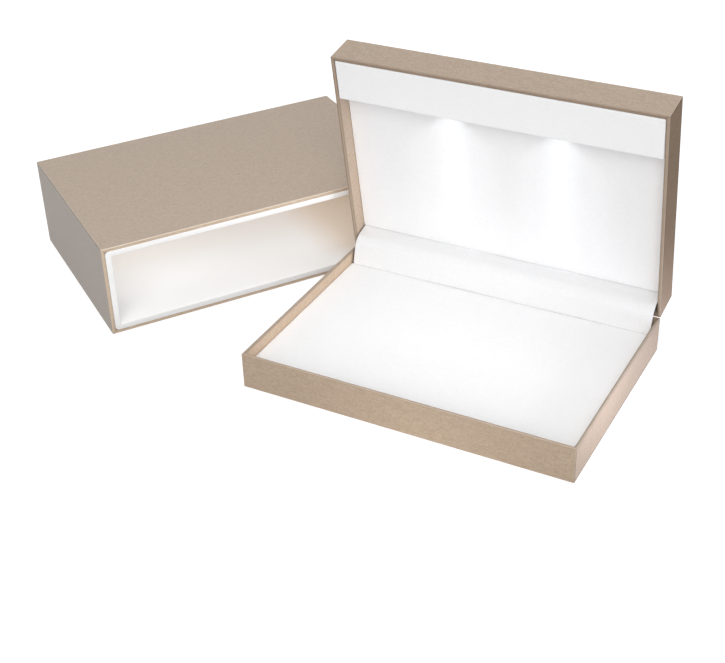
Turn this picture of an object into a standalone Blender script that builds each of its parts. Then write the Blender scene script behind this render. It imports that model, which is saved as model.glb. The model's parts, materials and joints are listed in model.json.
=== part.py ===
"""Presentation case with a spring-hinged, lighted lid, and the sleeve that the closed case slides into."""

import math

import bmesh
import bpy
from mathutils import Vector

# Lengths are in metres and angles in degrees. X runs along the hinge, Y to the rear and Z up.
# The case's pieces are drawn closed, from the hinge axis: y runs forward as minus, and a depth
# is measured from a rim into its shell, down into the base or up into the lid.

# Case
case_width = 0.240
case_depth = 0.164
base_height = 0.0267
base_wall = 0.0020
base_floor = 0.0020
lid_height = 0.0250
lid_wall = 0.0026
lid_top = 0.0026
lid_open_angle = 80.8
rim_gap = 0.0003
seat_gap = 0.0003
wrap_radius = 0.0004
cut_overrun = 0.0020

# Pads, and the boards and risers behind them
base_pad_depth = 0.0088
lid_pad_depth = 0.0117
pad_thickness = 0.0040
pad_crown = 0.0005
pad_edge_radius = 0.0011
pad_draw_in = 0.0004
pad_board = 0.0015
riser_rail = 0.0080
riser_windows = 3
board_setback = 0.0085

# Hinge apron, the leatherette roll between the two pads
apron_thickness = 0.0008
apron_radius = 0.0090
apron_foot_reach = 0.0098
apron_pad_reach = 0.0110
apron_side_gap = 0.0010
apron_lap_angle = 4.0
apron_skirt_angle = 9.0

# Spring hinges
hinge_inset = 0.048
hinge_length = 0.030
leaf_thickness = 0.0006
leaf_reach = 0.0135
leaf_bend_radius = 0.0007
leaf_roll_angle = 265.0
pin_radius = 0.0008
pin_clearance = 0.0003
outer_knuckle = 0.0050
inner_knuckle = 0.0050
spring_wire_radius = 0.00025
spring_pitch = 0.00095
spring_tang_length = 0.0050
spring_end_room = 0.00125
coil_start_angle = 270.0
rivet_spacing = 0.016
rivet_drop = 0.0080
rivet_radius = 0.0008
rivet_head_radius = 0.0016
rivet_head_height = 0.0005
rivet_bite = 0.0010

# Light header, across the lid's free edge
header_height = 0.0304
header_skin = 0.0015
header_edge_radius = 0.0008
light_spacing = 0.080
light_offset = 0.0029
light_clearance_from_pad = 0.0048
light_radius = 0.0025
light_body_length = 0.0032
light_flange_radius = 0.0029
light_flange_height = 0.0008
bezel_flange_radius = 0.0042
bezel_flange_height = 0.0006
bezel_wall = 0.0005
circuit_length = 0.110
circuit_width = 0.0085
circuit_thickness = 0.0016

# Battery holder and its coin cells
cell_radius = 0.0100
cell_thickness = 0.0032
cell_chamfer = 0.0004
cell_stand_down = 0.0004
holder_wall = 0.0010
holder_floor = 0.0013
contact_width = 0.0045
contact_thickness = 0.0004
contact_reach = 0.0060
contact_dip_half = 0.0025

# Lid switch, beside the hinge under the apron
switch_from_hinge = 0.042
switch_width = 0.0060
switch_depth = 0.0030
switch_height = 0.0042
switch_lift = 0.0010
plunger_radius = 0.0007
plunger_travel = 0.0010
plunger_engaged = 0.0010
striker_width = 0.0080
striker_thickness = 0.0006
striker_reach = 0.0035
striker_leg = 0.0080
lead_radius = 0.00055
lead_hole_back = 0.0095
lead_hole_half = 0.0022
lead_curve = 0.0045

# Sleeve
sleeve_width = 0.255
sleeve_depth = 0.1625
sleeve_height = 0.0706
sleeve_board = 0.0030
liner_board = 0.0037
liner_setback = 0.0008
liner_edge_radius = 0.0005
liner_corner_radius = 0.0020
sleeve_place = (-0.2348, 0.0832)
sleeve_turn = 54.9

# Facets of round shapes
round_sides = 20
small_sides = 12
arc_step = 12.0
coil_points = 10
lead_steps = 4
edge_segments = 2
corner_segments = 4
pad_cells = (12, 9)
pad_edge_angles = (90.0, 60.0, 30.0)
rivet_head_angles = (60.0, 30.0, 0.0)
dome_angles = (0.0, 22.0, 45.0, 68.0)
smooth_below_angle = 35.0
round_profile_share = 0.5

# Colours, roughness and metallic value of each finish
finishes = {
    "champagne_paper": ((0.60, 0.50, 0.38), 0.42, 0.35),
    "white_leatherette": ((0.90, 0.89, 0.88), 0.60, 0.0),
    "white_liner": ((0.88, 0.86, 0.82), 0.75, 0.0),
    "grey_board": ((0.42, 0.40, 0.36), 0.90, 0.0),
    "plated_steel": ((0.74, 0.74, 0.73), 0.28, 1.0),
    "spring_steel": ((0.55, 0.55, 0.56), 0.32, 1.0),
    "circuit_board": ((0.10, 0.30, 0.16), 0.45, 0.0),
    "light_lens": ((0.95, 0.96, 0.98), 0.12, 0.0),
    "white_plastic": ((0.88, 0.88, 0.87), 0.38, 0.0),
    "black_plastic": ((0.04, 0.04, 0.045), 0.42, 0.0),
    "cell_steel": ((0.78, 0.78, 0.77), 0.24, 1.0),
    "lead_insulation": ((0.86, 0.86, 0.85), 0.50, 0.0),
}

# Levels and limits that several pieces share
half_rim_gap = rim_gap / 2
hinge_x = case_width / 2 - hinge_inset
switch_x = hinge_x - switch_from_hinge
base_under = base_height + half_rim_gap
front_y = -case_depth
knuckle_centre = pin_radius + pin_clearance + leaf_thickness / 2
knuckle_outer = knuckle_centre + leaf_thickness / 2
knuckle_room = knuckle_outer + seat_gap
base_board_depth = base_pad_depth + pad_thickness + seat_gap
base_riser_depth = base_board_depth + pad_board + seat_gap
lid_board_depth = lid_pad_depth + pad_thickness + seat_gap
lid_riser_depth = lid_board_depth + pad_board + seat_gap
header_front_y = front_y + lid_wall + seat_gap
header_back_y = front_y + lid_wall + header_height
apron_core = apron_radius - apron_thickness / 2
apron_outer_core = apron_radius + seat_gap + apron_thickness / 2
cell_pitch = 2 * (cell_radius + seat_gap) + holder_wall


def clear_scene():
    """Remove every object, so that only this model is left."""
    for obj in list(bpy.data.objects):
        bpy.data.objects.remove(obj, do_unlink=True)


def finish(obj, kind):
    """Give a piece its own material of a named finish."""
    colour, roughness, metallic = finishes[kind]
    mat = bpy.data.materials.new(obj.name + "_finish")
    mat.use_nodes = True
    shader = mat.node_tree.nodes["Principled BSDF"]
    shader.inputs["Base Color"].default_value = (*colour, 1)
    shader.inputs["Roughness"].default_value = roughness
    shader.inputs["Metallic"].default_value = metallic
    mat.diffuse_color = (*colour, 1)
    obj.data.materials.append(mat)


def empty(name, place, turn=(0, 0, 0)):
    """A frame that pieces hang on."""
    obj = bpy.data.objects.new(name, None)
    obj.location = place
    obj.rotation_euler = turn
    bpy.context.scene.collection.objects.link(obj)
    return obj


def piece(name, bm, parent, kind=None, smooth=False):
    """Turn a bmesh into a named object under its frame."""
    bmesh.ops.recalc_face_normals(bm, faces=bm.faces)
    mesh = bpy.data.meshes.new(name)
    bm.to_mesh(mesh)
    bm.free()
    if smooth:
        mesh.shade_smooth()
        mesh.set_sharp_from_angle(angle=math.radians(smooth_below_angle))
    obj = bpy.data.objects.new(name, mesh)
    obj.parent = parent
    bpy.context.scene.collection.objects.link(obj)
    if kind:
        finish(obj, kind)
    return obj


def cut(target, bm, name):
    """Cut a shape out of a piece. The cutter stays as a hidden guide."""
    cutter = piece(name, bm, target.parent)
    cutter.hide_render = True
    cutter.display_type = "WIRE"
    modifier = target.modifiers.new(name, "BOOLEAN")
    modifier.operation = "DIFFERENCE"
    modifier.object = cutter


def soften(target, width):
    """Round a piece's sharp edges, as paper or leather drawn over board does."""
    modifier = target.modifiers.new("edges", "BEVEL")
    modifier.width = width
    modifier.segments = edge_segments
    modifier.limit_method = "ANGLE"


def rim_z(side, depth):
    """Height from the hinge axis of a depth below the base's rim (side -1) or above the lid's (side 1)."""
    return side * (half_rim_gap + depth)


def block(*corner_pairs):
    """Blocks between pairs of opposite corners, each closed by itself."""
    bm = bmesh.new()
    for low, high in corner_pairs:
        middle = (Vector(low) + Vector(high)) / 2
        made = bmesh.ops.create_cube(bm, size=1)["verts"]
        spans = [abs(b - a) for a, b in zip(low, high)]
        bmesh.ops.scale(bm, vec=spans, verts=made)
        bmesh.ops.translate(bm, vec=middle, verts=made)
    return bm


def add_prism(bm, outline, start, end):
    """Extrude a (y, z) outline along X."""
    rings = [[bm.verts.new((x, y, z)) for y, z in outline] for x in (start, end)]
    count = len(outline)
    bm.faces.new(rings[0])
    bm.faces.new(reversed(rings[1]))
    for i in range(count):
        j = (i + 1) % count
        bm.faces.new((rings[0][i], rings[1][i], rings[1][j], rings[0][j]))


def add_turned(bm, profile, centre, axis, sides, ring=False):
    """Turn a (radius, height) profile about an axis. A zero radius closes the end at a point."""
    turn = Vector((0, 0, 1)).rotation_difference(Vector(axis))
    angles = [math.tau * k / sides for k in range(sides)]
    rows = []
    for radius, height in profile:
        points = [Vector((radius * math.cos(a), radius * math.sin(a), height)) for a in angles]
        if radius == 0:
            points = points[:1]
        rows.append([bm.verts.new(Vector(centre) + turn @ p) for p in points])
    pairs = list(zip(rows, rows[1:] + rows[:1])) if ring else list(zip(rows, rows[1:]))
    for lower, upper in pairs:
        for k in range(sides):
            around = ((lower, k), (lower, k + 1), (upper, k + 1), (upper, k))
            corners = [row[i % len(row)] for row, i in around]
            unique = [v for i, v in enumerate(corners) if v not in corners[:i]]
            bm.faces.new(unique)
    if not ring:
        for row in (rows[0], rows[-1]):
            if len(row) > 1:
                bm.faces.new(row)


def disc_profile(radius, height, chamfer=0):
    """Profile of a plain round bar, with a chamfer at each end if one is given."""
    if not chamfer:
        return [(radius, 0), (radius, height)]
    return [(radius - chamfer, 0), (radius, chamfer),
            (radius, height - chamfer), (radius - chamfer, height)]


def arc(centre, radius, start, end):
    """Points on an arc between two polar angles."""
    steps = max(2, math.ceil(abs(end - start) / arc_step))
    angles = [math.radians(start + (end - start) * k / steps) for k in range(steps + 1)]
    return [(centre[0] + radius * math.cos(a), centre[1] + radius * math.sin(a)) for a in angles]


def strip_outline(path, thickness):
    """Closed outline of a sheet of one thickness whose middle follows a path."""
    points = [Vector(p) for p in path]
    steps = [(b - a).normalized() for a, b in zip(points, points[1:])]
    left, right = [], []
    for i, point in enumerate(points):
        before = steps[max(i - 1, 0)]
        after = steps[min(i, len(steps) - 1)]
        along = (before + after).normalized()
        reach = thickness / 2 / max(along.dot(after), seat_gap / thickness)
        normal = Vector((-along.y, along.x))
        left.append(point + normal * reach)
        right.append(point - normal * reach)
    return left + right[::-1]


def shell(name, parent, side, height, wall, plate):
    """One half of the case: a tray of wrapped board, open at its rim and notched for the hinges."""
    half = case_width / 2
    tray = piece(name, block(((-half, front_y, rim_z(side, 0)), (half, 0, rim_z(side, height)))), parent,
                 "champagne_paper")
    cut(tray, block(((-half + wall, front_y + wall, rim_z(side, -cut_overrun)),
                     (half - wall, -wall, rim_z(side, height - plate)))), name + "_hollow")
    soften(tray, wrap_radius)
    notch = hinge_length / 2 + seat_gap
    for hand, centre in hinge_places():
        cut(tray, block(((centre - notch, -wall - cut_overrun, -cut_overrun * side),
                         (centre + notch, cut_overrun, knuckle_room * side))), f"{name}_notch_{hand}")
    bm = bmesh.new()
    for place in rivet_places():
        add_turned(bm, disc_profile(rivet_radius + seat_gap, rivet_bite + seat_gap + cut_overrun),
                   (place, -wall - cut_overrun, side * rivet_drop), (0, 1, 0), small_sides)
    cut(tray, bm, name + "_rivet_holes")
    return tray


def hinge_places():
    """Hand and centre of each spring hinge."""
    return (("left", -hinge_x), ("right", hinge_x))


def rivet_places():
    """Places along X of the rivets of one shell."""
    offsets = (-rivet_spacing / 2, rivet_spacing / 2)
    return [centre + offset for hand, centre in hinge_places() for offset in offsets]


def riser(name, parent, side, wall, plate_depth, top_depth, back_y):
    """Lattice of grey board that carries a pad's board at its height."""
    half = case_width / 2 - wall - seat_gap
    front = front_y + wall + seat_gap
    low, high = rim_z(side, top_depth), rim_z(side, plate_depth - seat_gap)
    frame = piece(name, block(((-half, front, low), (half, back_y, high))), parent, "grey_board")
    room = (2 * half - riser_rail * (riser_windows + 1)) / riser_windows
    windows = []
    for k in range(riser_windows):
        start = -half + riser_rail + k * (room + riser_rail)
        windows.append(((start, front + riser_rail, low - side * cut_overrun),
                        (start + room, back_y - riser_rail, high + side * cut_overrun)))
    cut(frame, block(*windows), name + "_windows")
    return frame


def pad_outline(half, cells):
    """Stops across a pad as (place, share of its edge round), closer together where the edge turns down."""
    rounds = []
    for angle in pad_edge_angles:
        share = math.sin(math.radians(angle))
        rounds.append((half - pad_edge_radius * (1 - share), share))
    inner = half - pad_edge_radius
    middle = [(-inner + 2 * inner * k / cells, 0) for k in range(cells + 1)]
    return [(-place, share) for place, share in rounds] + middle + rounds[::-1]


def cushion(name, parent, side, half, front, back, depth):
    """Padded panel: crowned face, rounded edges and sides that draw in between the corners."""
    bm = bmesh.new()
    half_y = (back - front) / 2
    middle_y = (back + front) / 2
    across = pad_outline(half, pad_cells[0])
    along = pad_outline(half_y, pad_cells[1])

    def vertex(x, y, below):
        u, v = x / half, y / half_y
        drawn_x = x - u * pad_draw_in * (1 - v * v)
        drawn_y = y - v * pad_draw_in * (1 - u * u)
        return bm.verts.new((drawn_x, middle_y + drawn_y, rim_z(side, depth + below)))

    grid = []
    for x, round_x in across:
        row = []
        for y, round_y in along:
            fall = pad_edge_radius * (1 - math.sqrt(max(0, 1 - round_x ** 2 - round_y ** 2)))
            crown = pad_crown * (1 - (1 - (x / half) ** 2) * (1 - (y / half_y) ** 2))
            row.append(vertex(x, y, fall + crown))
        grid.append(row)
    for i in range(len(across) - 1):
        for j in range(len(along) - 1):
            bm.faces.new((grid[i][j], grid[i + 1][j], grid[i + 1][j + 1], grid[i][j + 1]))
    last_i, last_j = len(across) - 1, len(along) - 1
    rim = [(i, 0) for i in range(last_i)] + [(last_i, j) for j in range(last_j)]
    rim += [(i, last_j) for i in range(last_i, 0, -1)] + [(0, j) for j in range(last_j, 0, -1)]
    foot = [vertex(across[i][0], along[j][0], pad_thickness) for i, j in rim]
    for k, (i, j) in enumerate(rim):
        n = (k + 1) % len(rim)
        following = rim[n]
        bm.faces.new((grid[i][j], foot[k], foot[n], grid[following[0]][following[1]]))
    bm.faces.new(foot)
    return piece(name, bm, parent, "white_leatherette", smooth=True)


def pads_and_boards(base, lid):
    """What fills each half below its rim: riser, board and padded panel."""
    base_half = case_width / 2 - base_wall - seat_gap
    lid_half = case_width / 2 - lid_wall - seat_gap
    base_front = front_y + base_wall + seat_gap
    board_back = -board_setback
    riser("base_riser", base, -1, base_wall, base_height - base_floor, base_riser_depth, board_back)
    frame = riser("lid_riser", lid, 1, lid_wall, lid_height - lid_top, lid_riser_depth, board_back)
    lead_low, lead_high = switch_x - switch_depth / 2, switch_x + switch_depth / 2
    hole_y = header_back_y - lead_hole_back
    hole_front, hole_back = hole_y - lead_hole_half, hole_y + lead_hole_half
    cut(frame, block(((lead_low, hole_front, rim_z(1, lid_riser_depth - cut_overrun)),
                      (lead_high, cut_overrun, rim_z(1, lid_height)))), "lid_riser_lead_way")
    piece("base_pad_board", block(((-base_half, base_front, rim_z(-1, base_board_depth)),
                                   (base_half, board_back, rim_z(-1, base_board_depth + pad_board)))),
          base, "grey_board")
    board = piece("lid_pad_board", block(((-lid_half, header_front_y, rim_z(1, lid_board_depth)),
                                          (lid_half, board_back, rim_z(1, lid_board_depth + pad_board)))),
                  lid, "grey_board")
    cut(board, block(((lead_low, hole_front, rim_z(1, lid_board_depth - cut_overrun)),
                      (lead_high, hole_back, rim_z(1, lid_riser_depth + cut_overrun)))),
        "lid_pad_board_lead_hole")
    foot_face = -(apron_foot_reach + apron_thickness / 2 + seat_gap)
    cushion("base_pad", base, -1, base_half, base_front, foot_face, base_pad_depth)
    lid_face = -(apron_pad_reach + apron_thickness / 2 + seat_gap)
    cushion("lid_pad", lid, 1, lid_half, header_back_y + seat_gap, lid_face, lid_pad_depth)


def apron(base, lid):
    """The roll of leatherette that hides the hinge. One sheet on the real case, it is drawn as two:
    the base's drum round the hinge axis, and the lid's flap, which laps over the drum's start."""
    half = case_width / 2 - lid_wall - apron_side_gap
    hardware = lid_wall + 3 * seat_gap + leaf_thickness + rivet_head_height
    inner = apron_radius - apron_thickness
    start = 90 + math.degrees(math.asin(hardware / inner))
    flap_end = start + apron_lap_angle + lid_open_angle
    drum_end = flap_end + apron_skirt_angle
    path = arc((0, 0), apron_core, start, drum_end)
    path.append((-apron_foot_reach, rim_z(-1, base_pad_depth)))
    path.append((-apron_foot_reach, rim_z(-1, base_board_depth - seat_gap)))
    bm = bmesh.new()
    add_prism(bm, strip_outline(path, apron_thickness), -half, half)
    piece("base_apron", bm, base, "white_leatherette", smooth=True)

    top = rim_z(1, lid_pad_depth)
    reach = math.hypot(apron_pad_reach, top)
    touch = math.degrees(math.atan2(top, -apron_pad_reach) + math.acos(apron_outer_core / reach))
    path = [(-apron_pad_reach, rim_z(1, lid_board_depth - seat_gap)), (-apron_pad_reach, top)]
    path += arc((0, 0), apron_outer_core, touch, flap_end)
    bm = bmesh.new()
    add_prism(bm, strip_outline(path, apron_thickness), -half, half)
    piece("lid_apron", bm, lid, "white_leatherette", smooth=True)


def leaf_path(wall, side):
    """Middle line of a leaf: up the wall's inner face, over its notch and round the pin."""
    plate_y = -(wall + seat_gap + leaf_thickness / 2)
    bend = leaf_bend_radius
    path = [(plate_y, leaf_reach)]
    path += arc((plate_y + bend, knuckle_centre + bend), bend, 180, 270)
    path += arc((0, 0), knuckle_centre, 90, 90 - leaf_roll_angle)
    return [(y, z * side) for y, z in path]


def leaf(name, parent, side, wall, centre, free_spans):
    """A leaf of sheet steel, rolled round the pin and cut away where the other leaf or the spring turns."""
    bm = bmesh.new()
    half = hinge_length / 2
    add_prism(bm, strip_outline(leaf_path(wall, side), leaf_thickness), centre - half, centre + half)
    plate = piece(name, bm, parent, "plated_steel", smooth=True)
    near, far = knuckle_room * side, -leaf_reach * side
    gaps = [((centre + low, -leaf_reach, near), (centre + high, leaf_reach, far))
            for low, high in free_spans]
    cut(plate, block(*gaps), name + "_gaps")
    bm = bmesh.new()
    for offset in (-rivet_spacing / 2, rivet_spacing / 2):
        add_turned(bm, disc_profile(rivet_radius + seat_gap, 2 * cut_overrun),
                   (centre + offset, -wall - cut_overrun, side * rivet_drop), (0, 1, 0), small_sides)
    cut(plate, bm, name + "_holes")


def spring_points(centre, coil_half):
    """Middle line of a torsion spring: a tang down the base leaf, the coil, and a tang along the pin."""
    radius = knuckle_centre - leaf_thickness / 2 + spring_wire_radius
    turns = math.floor((2 * coil_half - 2 * spring_wire_radius - spring_end_room) / spring_pitch)
    tang_y = -(base_wall + 2 * seat_gap + leaf_thickness + spring_wire_radius)
    start = centre - coil_half + spring_wire_radius + seat_gap
    points = [(start, tang_y, -radius - spring_tang_length), (start, tang_y, -radius - leaf_bend_radius),
              (start, tang_y + leaf_bend_radius, -radius)]
    count = turns * coil_points
    for k in range(count + 1):
        angle = math.radians(coil_start_angle) + math.tau * k / coil_points
        place = start + spring_pitch * k / coil_points
        points.append((place, radius * math.cos(angle), radius * math.sin(angle)))
    x, y, z = points[-1]
    points.append((x + spring_pitch, y, z))
    return points


def least_gap(points, radius, near):
    """Least clear distance between stretches of a tube that aren't neighbours along it."""
    best = math.inf
    for i, a in enumerate(points):
        for b in points[i + near:]:
            best = min(best, (Vector(a) - Vector(b)).length)
    return best - 2 * radius


def tube(name, parent, points, radius, kind):
    """Round wire along a run of points."""
    curve = bpy.data.curves.new(name, "CURVE")
    curve.dimensions = "3D"
    curve.bevel_depth = radius
    curve.bevel_resolution = 1
    curve.use_fill_caps = True
    spline = curve.splines.new("POLY")
    spline.points.add(len(points) - 1)
    for slot, point in zip(spline.points, points):
        slot.co = (*point, 1)
    obj = bpy.data.objects.new(name, curve)
    obj.parent = parent
    bpy.context.scene.collection.objects.link(obj)
    finish(obj, kind)


def rivet_profile():
    """Domed head and plain shank, from the head down."""
    angles = [math.radians(angle) for angle in rivet_head_angles]
    head = [(rivet_head_radius * math.cos(a), rivet_head_height * math.sin(a)) for a in angles]
    shank = seat_gap + leaf_thickness + seat_gap + rivet_bite
    return [(0, rivet_head_height)] + head + [(rivet_radius, 0), (rivet_radius, -shank)]


def hinges(base, lid):
    """Two spring hinges: rolled leaves, pins, torsion springs and the rivets that hold the leaves."""
    half = hinge_length / 2
    inner_start = half - outer_knuckle - seat_gap
    coil_half = inner_start - inner_knuckle - seat_gap
    coil_room = coil_half + seat_gap
    overrun = half + cut_overrun
    for hand, centre in hinge_places():
        leaf(f"hinge_leaf_base_{hand}", base, -1, base_wall, centre,
             [(-half + outer_knuckle, half - outer_knuckle)])
        leaf(f"hinge_leaf_lid_{hand}", lid, 1, lid_wall, centre,
             [(-overrun, -inner_start), (-coil_room, coil_room), (inner_start, overrun)])
        bm = bmesh.new()
        add_turned(bm, disc_profile(pin_radius, hinge_length, seat_gap),
                   (centre - half, 0, 0), (1, 0, 0), small_sides)
        piece(f"hinge_pin_{hand}", bm, base, "plated_steel", smooth=True)
        points = spring_points(centre, coil_half)
        tube(f"hinge_spring_{hand}", base, points, spring_wire_radius, "spring_steel")
        print(f"hinge_spring_{hand}: least gap between turns",
              round(least_gap(points, spring_wire_radius, coil_points // 2), 6), "m")
    for name, parent, side, wall in (("base_rivet", base, -1, base_wall), ("lid_rivet", lid, 1, lid_wall)):
        face = -(wall + 2 * seat_gap + leaf_thickness)
        for number, place in enumerate(rivet_places(), 1):
            bm = bmesh.new()
            add_turned(bm, rivet_profile(), (place, face, side * rivet_drop), (0, -1, 0), small_sides)
            piece(f"{name}_{number}", bm, parent, "plated_steel", smooth=True)


def header(lid):
    """Leatherette box across the lid's free edge, open at its back, with holes for the two lights."""
    half = case_width / 2 - lid_wall - seat_gap
    low, high = rim_z(1, 0), rim_z(1, lid_board_depth - seat_gap)
    cover = piece("light_header", block(((-half, header_front_y, low), (half, header_back_y, high))), lid,
                  "white_leatherette")
    soften(cover, header_edge_radius)
    cut(cover, block(((-half + header_skin, header_front_y + header_skin, low + header_skin),
                      (half - header_skin, header_back_y - header_skin, high + cut_overrun))),
        "light_header_hollow")
    hole = disc_profile(light_radius + 2 * seat_gap + bezel_wall, header_skin + 2 * cut_overrun)
    start = header_back_y - header_skin - cut_overrun
    bm = bmesh.new()
    for x, z in light_places():
        add_turned(bm, hole, (x, start, z), (0, 1, 0), round_sides)
    cut(cover, bm, "light_header_holes")


def light_places():
    """Centre of each light in the header's underside."""
    z = rim_z(1, lid_pad_depth - light_clearance_from_pad)
    return [(light_offset - light_spacing / 2, z), (light_offset + light_spacing / 2, z)]


def lights(lid):
    """Circuit board, the two diodes on it and the bezels that line their holes."""
    board_face = header_back_y - header_skin - light_body_length
    z = light_places()[0][1]
    low_z = max(z - circuit_width / 2, rim_z(1, header_skin + seat_gap))
    half = circuit_length / 2
    piece("circuit_board", block(((light_offset - half, board_face - circuit_thickness, low_z),
                                  (light_offset + half, board_face, low_z + circuit_width))),
          lid, "circuit_board")
    for hand, (x, z) in zip(("left", "right"), light_places()):
        dome = [(light_radius * math.cos(math.radians(a)), light_radius * math.sin(math.radians(a)))
                for a in dome_angles]
        straight = light_body_length
        profile = [(light_flange_radius, 0), (light_flange_radius, light_flange_height),
                   (light_radius, light_flange_height)]
        profile += [(radius, straight + height) for radius, height in dome] + [(0, straight + light_radius)]
        bm = bmesh.new()
        add_turned(bm, profile, (x, board_face + seat_gap, z), (0, 1, 0), round_sides)
        piece(f"light_diode_{hand}", bm, lid, "light_lens", smooth=True)
        bore = light_radius + seat_gap
        barrel = bore + bezel_wall
        face, proud = seat_gap, seat_gap + bezel_flange_height
        profile = [(bore, -header_skin), (barrel, -header_skin), (barrel, face), (bezel_flange_radius, face),
                   (bezel_flange_radius, (face + proud) / 2), (bezel_flange_radius - bezel_wall, proud),
                   (bore, proud)]
        bm = bmesh.new()
        add_turned(bm, profile, (x, header_back_y, z), (0, 1, 0), round_sides, ring=True)
        piece(f"light_bezel_{hand}", bm, lid, "white_plastic", smooth=True)


def battery(lid):
    """Holder with two coin cells, and the spring contact that bridges each cell."""
    back = rim_z(1, lid_board_depth - seat_gap)
    depth = cell_stand_down + cell_thickness + seat_gap + holder_floor
    mouth = back - depth
    half_x = cell_pitch / 2 + cell_radius + seat_gap + holder_wall
    centre_y = header_front_y + header_skin + seat_gap + cell_radius + seat_gap + holder_wall / 2
    half_y = cell_radius + seat_gap + holder_wall / 2
    holder = piece("battery_holder", block(((-half_x, centre_y - half_y, mouth),
                                            (half_x, centre_y + half_y, back))), lid, "black_plastic")
    bm = bmesh.new()
    centres = (("left", -cell_pitch / 2), ("right", cell_pitch / 2))
    for hand, x in centres:
        add_turned(bm, disc_profile(cell_radius + seat_gap, depth - holder_floor + cut_overrun),
                   (x, centre_y, mouth - cut_overrun), (0, 0, 1), round_sides)
    cut(holder, bm, "battery_holder_wells")
    for hand, x in centres:
        bm = bmesh.new()
        add_turned(bm, disc_profile(cell_radius, cell_thickness, cell_chamfer),
                   (x, centre_y, mouth + cell_stand_down), (0, 0, 1), round_sides)
        piece(f"coin_cell_{hand}", bm, lid, "cell_steel", smooth=True)
    rest = mouth - seat_gap - contact_thickness / 2
    dip = mouth + cell_stand_down - seat_gap - contact_thickness / 2
    span = cell_radius + holder_wall / 2
    path = [(centre_y - span, rest), (centre_y - contact_reach, rest), (centre_y - contact_dip_half, dip),
            (centre_y + contact_dip_half, dip), (centre_y + contact_reach, rest), (centre_y + span, rest)]
    for hand, x in centres:
        bm = bmesh.new()
        add_prism(bm, strip_outline(path, contact_thickness), x - contact_width / 2, x + contact_width / 2)
        piece(f"battery_contact_{hand}", bm, lid, "spring_steel")


def smooth_route(stops, steps):
    """Points of a smooth curve through a few stops."""
    line = [Vector(p) for p in stops]
    line = [2 * line[0] - line[1]] + line + [2 * line[-1] - line[-2]]
    points = []
    for a, b, c, d in zip(line, line[1:], line[2:], line[3:]):
        for k in range(steps):
            t = k / steps
            points.append((2 * b + (c - a) * t + (2 * a - 5 * b + 4 * c - d) * t ** 2
                           + (3 * b - a - 3 * c + d) * t ** 3) / 2)
    return points + [line[-2]]


def switch(base, lid, plunger_frame):
    """Micro switch on the lid's rear wall, its plunger, its leads and the striker on the base."""
    front = -(lid_wall + seat_gap)
    low = rim_z(1, switch_lift)
    plunger_y = front - switch_depth / 2
    half = switch_width / 2
    body = piece("switch_body", block(((switch_x - half, front - switch_depth, low),
                                       (switch_x + half, front, low + switch_height))),
                 lid, "black_plastic")
    well = plunger_engaged + plunger_travel + seat_gap
    bm = bmesh.new()
    add_turned(bm, disc_profile(plunger_radius + seat_gap, well + cut_overrun),
               (switch_x, plunger_y, low - cut_overrun), (0, 0, 1), small_sides)
    cut(body, bm, "switch_body_well")

    striker_top = -(seat_gap + half_rim_gap)
    tip = striker_top + seat_gap - plunger_travel
    bm = bmesh.new()
    length = low + plunger_engaged - tip
    add_turned(bm, disc_profile(plunger_radius, length, seat_gap), (0, 0, 0), (0, 0, 1), small_sides)
    piece("switch_plunger", bm, plunger_frame, "white_plastic", smooth=True)
    plunger_frame.location = (switch_x, plunger_y, tip)

    plate_y = -(base_wall + seat_gap + striker_thickness / 2)
    middle = striker_top - striker_thickness / 2
    path = [(plate_y, middle - striker_leg), (plate_y, middle), (plate_y - striker_reach, middle)]
    half = striker_width / 2
    bm = bmesh.new()
    add_prism(bm, strip_outline(path, striker_thickness), switch_x - half, switch_x + half)
    piece("switch_striker", bm, base, "plated_steel")

    wall_y = front - lead_radius
    gap_z = rim_z(1, lid_riser_depth) + (lid_height - lid_top - lid_riser_depth) / 2
    hole_y = header_back_y - lead_hole_back
    board_back = header_back_y - header_skin - light_body_length - circuit_thickness - seat_gap
    light_z = light_places()[0][1]
    stops = [
        (board_back, light_z), (board_back - lead_radius * 2, light_z), (hole_y, light_z + lead_curve),
        (hole_y, rim_z(1, lid_board_depth)), (hole_y, rim_z(1, lid_riser_depth)),
        (hole_y + lead_curve, gap_z), (-board_setback - lead_curve, gap_z),
        (-board_setback, gap_z), (wall_y, gap_z - lead_curve), (wall_y, low + switch_height + lead_curve),
        (wall_y, low + switch_height + seat_gap),
    ]
    pitch = lead_radius + seat_gap / 2
    route = smooth_route(stops, lead_steps)
    for hand, offset in (("left", -pitch), ("right", pitch)):
        run = [(switch_x + offset, p.x, p.y) for p in route]
        tube(f"switch_lead_{hand}", lid, run, lead_radius, "lead_insulation")


def round_corners(bm, level):
    """Round a panel's two long edges at one level, where it sits in the wrapped shell's corners."""
    edges = []
    for edge in bm.edges:
        a, b = (corner.co for corner in edge.verts)
        if abs(a.z - level) < seat_gap and abs(b.z - level) < seat_gap and abs(a.x - b.x) < seat_gap:
            edges.append(edge)
    bmesh.ops.bevel(bm, geom=edges, offset=liner_corner_radius, segments=corner_segments,
                    profile=round_profile_share, affect="EDGES")


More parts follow.
